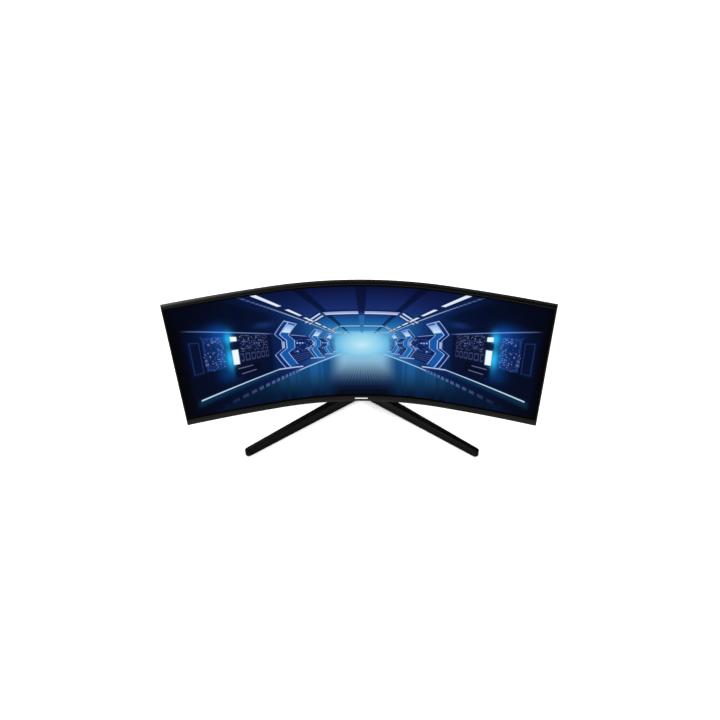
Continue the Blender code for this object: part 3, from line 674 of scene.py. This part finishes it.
def corridor_ribs(picture):
    """Bent ribs that stand out from the side walls, each smaller than the one before it."""
    layer, side, slope = picture.layer, picture.side, picture.slope
    reach = picture.follow(
        slope, (-0.36, 0.965), (-0.325, 0.985), (-0.06, 1.1), (0.022, 1.0), (0.175, 1.0),
        (0.27, 1.08), (0.55, 0.935),
    ) / side
    across = reach / (rib_number(reach) * RIB_SPACING + FIRST_RIB)
    whole = slope.within(-0.345, 0.53, 0.006) * reach.step(0.945, 0.952) * side.step(0.34, 0.42)

    gap = whole * across.step(1.185, 1.195)
    layer(gap * slope.within(-0.32, 0.27, 0.01) * 0.85, (9, 26, 84))
    chance, inside = picture.tiles(across, slope, 0.055, 0.045, 0.16, 9.0)
    crates = gap * slope.within(-0.11, 0.2, 0.008) * inside
    layer(crates * chance.step(0.45, 0.5), (44, 78, 152))
    layer(crates * chance.step(0.8, 0.82), (150, 176, 228))
    steps = gap * slope.within(-0.3, -0.13, 0.008) * (slope * 22.0).zigzag().step(0.72, 0.84)
    layer(steps * 0.4, (96, 124, 190))

    ribs = whole * across.step(1.195, 1.185)
    layer(ribs, (18, 36, 112))
    layer(ribs * across.step(1.06, 1.068), (20, 84, 166))
    layer(ribs * slope.step(0.28, 0.5) * 0.6, (24, 52, 132))
    layer(ribs * side.step(0.85, 0.45) * 0.45, (26, 134, 204))
    inlet = ribs * across.within(1.075, 1.18, 0.004) * slope.within(0.315, 0.48, 0.006)
    layer(inlet, picture.ramp(slope, (0.31, 216, 236, 250), (0.49, 120, 164, 226)))
    slit = ribs * across.within(1.012, 1.036, 0.004) * slope.within(0.03, 0.15, 0.005)
    layer(slit * 0.8, (178, 204, 244))
    for place, half, strength in ((1.004, 0.003, 0.75), (1.064, 0.0045, 1.0), (1.188, 0.0035, 0.9)):
        layer(whole * across.line(place, half, 0.004) * strength, (160, 202, 246))
    layer(ribs * slope.line(0.526, 0.01, 0.008), (160, 182, 238))


def corridor_floor(picture):
    """Guide lines along the floor, the ribs' feet, and a row of marks."""
    layer, side, high = picture.layer, picture.side, picture.high
    slope, near, below = picture.slope, picture.near, picture.below
    halo = slope.line(-0.335, 0.0, 0.055) * side.within(1.15, 2.25, 0.05)
    layer(halo * 0.22, (14, 92, 140))
    guide = slope.within(-0.3195, -0.3085, 0.003) * side.within(1.12, 2.21, 0.008)
    layer(guide, (206, 228, 250))

    scale = (rib_number(near * 1.065 + 0.012) * RIB_SPACING + FIRST_RIB) / FIRST_RIB
    foot = (high * scale).line(-0.352, 0.007, 0.009) * side.within(0.33, 1.13, 0.01)
    layer(foot * (side * scale).within(0.8, 1.13, 0.01) * below, (176, 196, 244))

    run = (high + side * 0.44 + 0.045).size()
    layer(run.step(0.014, 0.005) * side.within(0.28, 0.86, 0.03) * below, (168, 200, 240))
    marks = run.step(0.034, 0.024) * (near / 0.05).turns().within(0.1, 0.72, 0.06)
    marks = marks * below * side.within(0.84, 1.95, 0.04)
    layer(marks * side.step(2.0, 0.8) * 0.75, (92, 120, 172))


def screen_finish():
    """Dark anti-glare glass over the lit picture, black where the panel has no picture."""
    finish = Finish("anti_glare_screen", (0.0003, 0.0003, 0.0004), 0.3, specular=0.006)
    finish.vary(finish.noise(30.0), 0.27, 0.34)
    picture = Picture(finish.tree)
    corridor_shell(picture)
    corridor_walls(picture)
    corridor_ribs(picture)
    corridor_ceiling(picture)
    corridor_floor(picture)
    ends = [(edge - VANISHING_ALONG) / PICTURE_UNIT for edge in (-PICTURE_HALF_ARC, PICTURE_HALF_ARC)]
    heights = [(edge - VANISHING_UP) / PICTURE_UNIT for edge in (PICTURE_LOW, PICTURE_HIGH)]
    lit = picture.across.within(*ends, 0.002) * picture.high.within(*heights, 0.002)
    finish.link(mix(finish.tree, lit, (0.0, 0.0, 0.0), picture.colour), "Emission Color")
    finish.set("Emission Strength", 1.0)
    return finish


def make_finishes():
    """A finish for each of the record's material slots."""
    return {
        "black_plastic": moulded("black_moulding", (0.0007, 0.0007, 0.0009), 0.38, 0.082),
        "rear_plastic": moulded("rear_moulding", *REAR_MOULDING),
        "screen_face": screen_finish(),
        "frame_plastic": moulded("frame_moulding", (0.03, 0.03, 0.03), 0.5, 0.4),
        "optical_film": film("optical_film", (0.82, 0.84, 0.86), 0.3),
        "light_guide": film("guide_acrylic", (0.72, 0.82, 0.86), 0.15),
        "steel": metal("plated_steel", (0.56, 0.57, 0.59), 0.34),
        "dark_steel": metal("blackened_steel", (0.05, 0.05, 0.055), 0.42),
        "aluminium": metal("plain_aluminium", (0.7, 0.71, 0.72), 0.32),
        "circuit_board": board_mask(),
        "ribbon": film("amber_ribbon", (0.48, 0.24, 0.05), 0.35),
        "port_plastic": moulded("socket_plastic", (0.012, 0.012, 0.012), 0.4, 0.4),
        "port_shell": metal("nickel_shell", (0.62, 0.62, 0.6), 0.25),
        "rubber": rubber(),
        "badge_bar": pale_bar(),
    }


# ---- pieces


def dress(piece, body, slot, *nodes, finish=None):
    """Puts the slot's finish, or the given one, on a new piece, hangs it from its body, and hides the CAD nodes
    that it stands for.
    """
    piece.data.materials.clear()
    piece.data.materials.append((finish or FINISHES[slot]).material)
    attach(piece, body)
    if nodes:
        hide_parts(*nodes)
    return piece


def bezel():
    """The front ring: slim lips, a deeper chin, and side walls back to the seam."""
    round_front, lip_thick = 0.0009, 0.0012
    steps = [
        (0.0, 0.0, SEAM_DEPTH, 0.0028),
        (0.0, 0.0, round_front, 0.0028),
        (0.00018, 0.00018, 0.00036, 0.0027),
        (0.00045, 0.00045, 0.00012, 0.0025),
        (0.0009, 0.0011, 0.0, 0.0022),
        (LIP - 0.0004, CHIN - 0.0004, 0.0, 0.0010),
        (LIP - 0.0001, CHIN - 0.0001, 0.0001, 0.0008),
        (LIP, CHIN, 0.0004, 0.0007),
        (LIP, CHIN, lip_thick, 0.0007),
        (BEZEL_WALL, BEZEL_WALL, lip_thick + 0.0003, 0.0020),
        (BEZEL_WALL, BEZEL_WALL, SEAM_DEPTH, 0.0020),
    ]
    rings = []
    for inset, low_inset, depth, radius in steps:
        wide, top = HALF_ARC - inset, HALF_HEIGHT - inset
        outline = rounded_rectangle(-wide, wide, low_inset - HALF_HEIGHT, top, radius)
        rings.append([bent(along, depth, up) for along, up in outline])
    return loft("bezel_ring", rings, closed=True)


def screen():
    """The curved panel, with the picture's own coordinates on it."""
    sizes = (1, 192, 8)
    depths = (GLASS_DEPTH, PANEL_BACK)
    shape = bmesh.new()
    layout = shape.loops.layers.uv.new("picture")
    grid, flat = {}, {}
    for spot in itertools.product(*[range(size + 1) for size in sizes]):
        layer, column, row = spot
        along = PANEL_HALF_ARC * (2 * column / sizes[1] - 1)
        up = PANEL_LOW + (PANEL_HIGH - PANEL_LOW) * row / sizes[2]
        grid[spot] = shape.verts.new(bent(along, depths[layer], up))
        picture_spot = ((along - VANISHING_ALONG) / PICTURE_UNIT, (up - VANISHING_UP) / PICTURE_UNIT)
        flat[grid[spot]] = picture_spot
    for spot, level in itertools.product(grid, range(3)):
        first, second = [axis for axis in range(3) if axis != level]
        corners = []
        for a, b in ((0, 0), (1, 0), (1, 1), (0, 1)):
            corner = list(spot)
            corner[first] += a
            corner[second] += b
            corners.append(grid.get(tuple(corner)))
        if spot[level] in (0, sizes[level]) and all(corners):
            for loop in shape.faces.new(corners).loops:
                loop[layout].uv = flat[loop.vert]
    return add_mesh("screen_panel", shape)


def bulge(name, inset, front, columns, rows):
    """The solid between a front depth and the rear cover's outside, drawn in by the inset."""
    shape = bmesh.new()
    bmesh.ops.create_grid(shape, x_segments=columns, y_segments=rows, size=1)
    spots = {}
    for vert in shape.verts:
        along, up = vert.co.x * HALF_ARC, vert.co.y * HALF_HEIGHT
        depth = cover_depth(along, up) - inset
        along = max(inset - HALF_ARC, min(HALF_ARC - inset, along))
        up = max(inset - HALF_HEIGHT, min(HALF_HEIGHT - inset, up))
        spots[vert] = (along, up)
        vert.co = bent(along, depth, up)
    front_verts = {}
    for edge in [edge for edge in shape.edges if edge.is_boundary]:
        first, last = edge.verts
        for vert in edge.verts:
            if vert not in front_verts:
                along, up = spots[vert]
                front_verts[vert] = shape.verts.new(bent(along, front, up))
        shape.faces.new((first, last, front_verts[last], front_verts[first]))
    rim = [edge for edge in shape.edges if edge.is_boundary]
    bmesh.ops.holes_fill(shape, edges=rim, sides=0)
    bmesh.ops.triangulate(shape, faces=[face for face in shape.faces if len(face.verts) > 4])
    return add_mesh(name, shape, 40)


def vent_slots():
    """One cutter of many upright slots across the upper and lower slopes of the bulge."""
    pitch, half_wide, reach = 0.0060, 0.00125, 34
    inside, outside = -0.016, 0.020
    around_bay = (-0.178, -0.064)
    shape = bmesh.new()
    for low, high, (skip_from, skip_to) in ((0.104, 0.124, (0.0, 0.0)), (-0.134, -0.116, around_bay)):
        for number in range(-reach, reach + 1):
            along = number * pitch
            if skip_from < along < skip_to:
                continue
            surface = cover_depth(along, (low + high) / 2)
            rings = []
            for depth in (surface + inside, surface + outside):
                left, right = along - half_wide, along + half_wide
                corners = ((left, low), (right, low), (right, high), (left, high))
                rings.append([shape.verts.new(bent(a, depth, b)) for a, b in corners])
            near, far = rings
            shape.faces.new(near)
            shape.faces.new(far)
            for a in range(4):
                shape.faces.new((near[a - 1], near[a], far[a], far[a - 1]))
    return add_mesh("vent_slots", shape)


def patch(name, spot, grow, low, high, radius, steps=24):
    """A solid that follows the rear cover's outside about a spot, from low to high off it."""
    short_steps, corner_steps = 4, 5
    outline = around(spot, grow, radius, steps, short_steps, corner_steps)
    start = -(corner_steps + short_steps // 2)
    outline = outline[start:] + outline[:start]
    shape = bmesh.new()
    rings = []
    for off in (low, high):
        rings.append([shape.verts.new(bent(a, cover_depth(a, b) + off, b)) for a, b in outline])
    near, far = rings
    for a in range(len(outline)):
        shape.faces.new((near[a - 1], near[a], far[a], far[a - 1]))
    for ring in rings:
        for a in range(len(ring) // 2):
            across = (ring[a], ring[a + 1], ring[-a - 1], ring[-a])
            shape.faces.new(dict.fromkeys(across))
    return add_mesh(name, shape)


def lock_slot():
    """The metal-lined slot for a cable lock."""
    outside = cover_depth(*LOCK[:2])
    rings = []
    for off, grow in ((-0.006, 0.0), (0.0001, 0.0), (0.0001, -0.0006), (-0.006, -0.0006)):
        outline = around(LOCK, grow, 0.0008 + grow, 6, 3)
        rings.append([bent(a, outside + off, b) for a, b in outline])
    return loft("lock_lining", rings, closed=True)


def rear_cover():
    """The rear cover's shell, with its socket bay, joystick dish, vents and label recess."""
    cover = bulge("rear_shell", 0.0, SEAM_DEPTH + 0.0003, 168, 84)
    cavity = bulge("rear_cavity", COVER_WALL, SEAM_DEPTH - 0.001, 64, 32)
    wall = Vector((COVER_WALL, COVER_WALL, COVER_WALL))
    lift = Vector((0, SCREEN_Y, HEAD_Z))
    bay_walls = block("bay_walls", BAY_LOW - wall + lift, BAY_HIGH + wall + lift)
    dish_low = JOG_PIVOT_AT + JOG_OUT * (DISH_FLOOR - JOG_DEPTH)
    dish_top, under_dish = dish_low + JOG_OUT * 0.03, dish_low - JOG_OUT * COVER_WALL
    dish_walls = round_bar("dish_walls", DISH_RADIUS + COVER_WALL, under_dish, dish_top)
    combine(cavity, "DIFFERENCE", [bay_walls, dish_walls])
    bay = block("bay", BAY_LOW + lift, BAY_HIGH + lift)
    dish = round_bar("dish", DISH_RADIUS, dish_low, dish_top, 64)
    stem_way = round_bar("stem_way", 0.0045, dish_low - JOG_OUT * 0.005, dish_low + JOG_OUT * 0.005)
    belts = [patch("belt", (0.0, up, 0.300, 0.0006), 0.0, -0.0008, 0.003, 0.0003, 96) for up in BELTS]
    recess = patch("recess", LABEL, 0.0006, -0.0005, 0.003, 0.0024)
    lock = patch("lock", LOCK, 0.0002, -0.008, 0.003, 0.0009, 6)
    ways = [bay, dish, stem_way, vent_slots(), *port_ways(), *belts, recess, lock]
    return combine(cover, "DIFFERENCE", [cavity, *ways], "MANIFOLD")


def port_ways():
    """A way through the bay's roof for each socket, a little larger than the socket."""
    ways = []
    for name in ("hdmi_port", "displayport_port", "dc_power_jack", "headphone_jack"):
        low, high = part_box(name)
        room = Vector((0.0003, 0.0003, 0.004))
        ways.append(block(f"{name}_way", low - room, Vector((high.x, high.y, low.z)) + room))
    return ways


def hood_outline(inset, root):
    """The hinge cover from the side: (behind, up) points."""
    radius = 0.0205 - inset
    turns = [math.radians(48 - 84 * step / 20) for step in range(21)]
    rim = [(AXIS_BEHIND + radius * math.cos(turn), radius * math.sin(turn)) for turn in turns]
    top, bottom = 0.054 - inset, -0.056 + inset
    return [(root, top), (0.058 - inset / 2, top), *rim, (0.064 - inset / 2, bottom), (root, bottom)]


def hinge_cover():
    half, wall, root = 0.056, 0.0022, MOUNT_FACE + 0.0003

    def place(a, b, thick):
        return head_place(thick, a, b)

    hood = bevel(slab("hinge_hood", hood_outline(0.0, root), -half, half, place), 0.0022, 4, 40)
    hollow = slab("hood_hollow", hood_outline(wall, root - 0.01), wall - half, half - wall, place)
    slot = NECK_HALF_WIDTH + 0.002
    way = block("hood_slot", head_place(-slot, 0.068, -0.07), head_place(slot, 0.11, 0.002))
    return combine(hood, "DIFFERENCE", [hollow, way])


def neck_half(name, side):
    """One of the neck's two covers, round over the hinge and rounded at its outer corners."""
    half, thick, length, gap, wall = NECK_HALF_WIDTH, NECK_HALF_THICK, 0.300, 0.00015, 0.0022
    turns = [math.radians(90 * step / 14) for step in range(14)]
    lean = Matrix.Rotation(NECK_LEAN, 3, "X")

    def outline(inner, outer):
        rim = [(side * outer * math.cos(turn), outer * math.sin(turn)) for turn in turns]
        return [(side * inner, -length), (side * outer, -length), *rim, (side * inner, outer)]

    def place(a, b, across):
        return TILT_AXIS + lean @ Vector((across, a, b))

    shell = slab(name, outline(gap, thick), -half, half, place)
    weights = shell.data.attributes.new("bevel_weight_edge", "FLOAT", "EDGE")
    for edge in shell.data.edges:
        points = [lean.inverted() @ (shell.data.vertices[v].co - TILT_AXIS) for v in edge.vertices]
        outer = all(abs(point.x) > half - 0.0001 for point in points)
        same_end = points[0].x * points[1].x > 0
        clear = all(side * point.y > 0.004 for point in points)
        weights.data[edge.index].value = 1.0 if outer and same_end and clear else 0.0
    bevel(shell, 0.0035, 5, limit="WEIGHT")
    hollow = slab("neck_hollow", outline(-0.001, thick - wall), wall - half, half - wall, place)
    shaft = Vector((0.03, 0, 0))
    shaft_way = round_bar("shaft_way", 0.0046, TILT_AXIS - shaft, TILT_AXIS + shaft)
    below = block("below_neck", (-0.1, -0.1, -0.3), (0.1, 0.3, 0.0222))
    return combine(shell, "DIFFERENCE", [hollow, shaft_way, below])


def leg_section(out, inset, low):
    """The leg's outline across it: a sloping front and a flat top."""
    rear = LEG_REAR_ROOT - LEG_REAR_TAPER * out - inset
    ridge = LEG_FRONT_ROOT - LEG_FRONT_TAPER * out + inset * 0.4
    top = LEG_TOP - inset
    return [(inset, low), (inset, BASE_RIM + LEG_LIP), (ridge, top), (rear, top), (rear + 0.0012, low)]


def legs(name, inset, low, rounding=0.0):
    """Both legs as one V."""
    outward = Vector((math.cos(LEG_TURN), -math.sin(LEG_TURN), 0))
    rearward = Vector((math.sin(LEG_TURN), math.cos(LEG_TURN), 0))
    stations = [(-0.030, 1.0), (LEG_ROUND_START, 1.0)]
    rounds = 8
    for step in range(1, rounds + 1):
        turn = math.radians(84 * step / rounds)
        stations.append((LEG_ROUND_START + (LEG_ROUND - inset) * math.sin(turn), math.cos(turn)))
    rings = []
    for out, width in stations:
        section = leg_section(min(out, LEG_ROUND_START), inset, low)
        middle = (section[0][0] + section[-1][0]) / 2
        rings.append([
            Vector((0, APEX_Y, up)) + outward * out + rearward * (middle + (back - middle) * width)
            for back, up in section
        ])
    made = loft(name, rings)
    if rounding:
        bevel(made, rounding, 4, 28)
    mirror = made.modifiers.new("mirror", "MIRROR")
    mirror.use_bisect_axis = (True, False, False)
    mirror.merge_threshold = 0.00001
    return settle(made)


def hub(name, inset, low, top, rounding=0.0):
    front, rear = HUB_FRONT + inset, HUB_REAR - inset
    near, far, corner = 0.034 - inset, 0.029 - inset, 0.006
    right = [(near, front), (near, NECK_FOOT_Y), (far + 0.0008, rear - corner), (far - corner, rear)]
    outline = right + [(-x, y) for x, y in reversed(right)]
    made = slab(name, outline, low, top, lambda a, b, height: Vector((a, b, height)))
    return bevel(made, rounding, 4, 20) if rounding else made


def base():
    """The V-shaped base: two legs and the neck's hub, open below for the steel plate."""
    rim = BASE_RIM
    cover = legs("base_moulding", 0.0, rim - 0.006, 0.0011)
    combine(cover, "UNION", [hub("hub_block", 0.0, rim - 0.008, HUB_TOP, 0.0022)])
    half_thick = NECK_HALF_THICK / math.cos(NECK_LEAN) + 0.0008
    neck_middle = NECK_FOOT_Y - 0.0007
    way = block(
        "neck_way",
        (-NECK_HALF_WIDTH - 0.0005, neck_middle - half_thick, 0.010),
        (NECK_HALF_WIDTH + 0.0005, neck_middle + half_thick, 0.04),
    )
    trim = block("base_trim", (-0.4, -0.3, -0.1), (0.4, 0.3, rim))
    floor = legs("floor_hollow", 0.0024, rim - 0.011)
    keep = block("hollow_keep", (-0.4, -0.3, -0.05), (0.4, 0.3, 0.0060))
    combine(floor, "UNION", [hub("hub_hollow", 0.0024, rim - 0.009, 0.012)])
    combine(floor, "INTERSECT", [keep])
    return combine(cover, "DIFFERENCE", [trim, floor, way])


def badge():
    """A plain bar on the chin, in place of any name."""
    low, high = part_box("badge_bar")
    low_up, high_up = low.z - HEAD_Z, high.z - HEAD_Z
    rings = []
    for inset, depth in ((0.0, 0.0003), (0.0, -0.00005), (0.0003, -0.0002)):
        outline = rounded_rectangle(
            low.x + inset, high.x - inset, low_up + inset, high_up - inset, 0.0009 - inset, 8, 1, 4
        )
        rings.append([bent(along, depth, up) for along, up in outline])
    return loft("badge_plate", rings)


def jog_cap():
    """The joystick's cap: a shallow dish on top and a fine step at its foot."""
    foot, top, radius = 0.0269 - JOG_DEPTH, 0.0355 - JOG_DEPTH, 0.0065
    profile = [
        (0.0023, foot + 0.0050), (0.0023, foot), (radius - 0.0004, foot), (radius, foot + 0.0004),
        (radius, foot + 0.0018), (radius - 0.0003, foot + 0.0020), (radius - 0.0003, foot + 0.0024),
        (radius, foot + 0.0026), (radius, top - 0.0010), (radius - 0.0003, top - 0.0004),
        (radius - 0.0010, top), (0.0050, top - 0.0002), (0.0034, top - 0.0008), (0.0015, top - 0.0011),
    ]
    turn = JOG_OUT.to_track_quat("Z", "Y").to_matrix()
    spins = [Matrix.Rotation(math.tau * step / 48, 3, "Z") for step in range(48)]
    rings = []
    for radius, height in profile:
        spot = Vector((radius, 0, height))
        rings.append([JOG_PIVOT_AT + turn @ spin @ spot for spin in spins])
    return loft("jog_cap", rings)


def build():
    darkest = moulded("stand_moulding", (0.0005, 0.0005, 0.0007), 0.28, 0.055)
    lining = metal("lock_steel", (0.30, 0.30, 0.31), 0.35)
    dress(bezel(), "head", "black_plastic", "front_bezel")
    dress(screen(), "head", "screen_face", "lcd_panel")
    dress(badge(), "head", "badge_bar", "badge_bar")
    dress(rear_cover(), "head", "rear_plastic", "rear_cover", finish=ribbed())
    label = patch("blank_label", LABEL, 0.0, -0.0004, -0.0001, 0.002)
    dress(label, "head", "rear_plastic", finish=label_film())
    dress(lock_slot(), "head", "steel", finish=lining)
    dress(hinge_cover(), "head", "rear_plastic", "hinge_cover")
    dress(neck_half("neck_front_shell", -1), "stand", "rear_plastic", "neck_front_cover")
    dress(neck_half("neck_rear_shell", 1), "stand", "rear_plastic", "neck_rear_cover")
    dress(base(), "stand", "black_plastic", "base_cover", finish=darkest)
    dress(jog_cap(), "jog_button", "black_plastic", "jog_button")


def dress_frame():
    """Finishes for the CAD pieces that stay."""
    dull = metal("coated_steel", (0.10, 0.10, 0.105), 0.50)
    slots = {part["node"]: part["material_slot"] for part in frame["record"]["subparts"]}
    for name, node in frame["nodes"].items():
        finish = dull if name == "backlight_chassis" else FINISHES[slots[name]]
        node.data.materials.clear()
        node.data.materials.append(finish.material)


# ---- stage


def stage():
    """A plain pale floor and wide soft lights."""
    shape = bmesh.new()
    bmesh.ops.create_grid(shape, x_segments=1, y_segments=1, size=6)
    floor = add_mesh("floor", shape)
    pale = Finish("pale_floor", (0.95, 0.95, 0.95), 0.9, specular=0.1)
    floor.data.materials.append(pale.material)

    world = bpy.data.worlds.new("studio")
    world.use_nodes = True
    tree = world.node_tree
    back = tree.nodes["Background"]
    back.inputs["Color"].default_value = (1.0, 1.0, 1.0, 1.0)
    seen, reflected = 1.30, 0.09
    strength = field(tree, "LightPath", {}, "Is Glossy Ray").spread(0.0, 1.0, seen, reflected)
    tree.links.new(strength.socket, back.inputs["Strength"])
    bpy.context.scene.world = world

    lights = (
        ("key_softbox", (-1.9, -1.6, 1.0), 1.4, 30.0),
        ("fill_softbox", (2.0, -1.5, 1.1), 1.4, 20.0),
        ("top_softbox", (-1.25, 1.70, 2.15), 0.7, 24.0),
        ("rear_softbox", (0.6, 2.8, 0.7), 1.8, 30.0),
        ("side_softbox", (2.6, 1.2, 1.0), 1.2, 9.0),
    )
    for name, place, size, power in lights:
        lamp = bpy.data.lights.new(name, "AREA")
        lamp.size = size
        lamp.energy = power
        made = bpy.data.objects.new(name, lamp)
        made.location = place
        aim = Vector((0, 0, 0.25)) - Vector(place)
        made.rotation_euler = aim.to_track_quat("-Z", "Y").to_euler()
        bpy.context.scene.collection.objects.link(made)
    bpy.context.scene.view_settings.view_transform = "Standard"


def camera():
    """Looks down on the screen from in front, turned a little to its right."""
    azimuth, elevation, roll = math.radians(1.95), math.radians(46.07), math.radians(-1.41)
    distance, target = 2.106, head_place(-0.001, 0.0, -0.0441)
    turn = Matrix.Rotation(azimuth, 3, "Z") @ Matrix.Rotation(-elevation, 3, "X")
    back = turn @ Vector((0, -1, 0))
    lens = bpy.data.cameras.new("camera")
    lens.lens = 47.04
    lens.sensor_width = 36.0
    made = bpy.data.objects.new("camera", lens)
    made.location = target + back * distance
    level = (-back).to_track_quat("-Z", "Y").to_matrix()
    made.rotation_euler = (level @ Matrix.Rotation(roll, 3, "Z")).to_euler()
    bpy.context.scene.collection.objects.link(made)
    bpy.context.scene.camera = made


FINISHES = make_finishes()
camera()
stage()
build()
dress_frame()
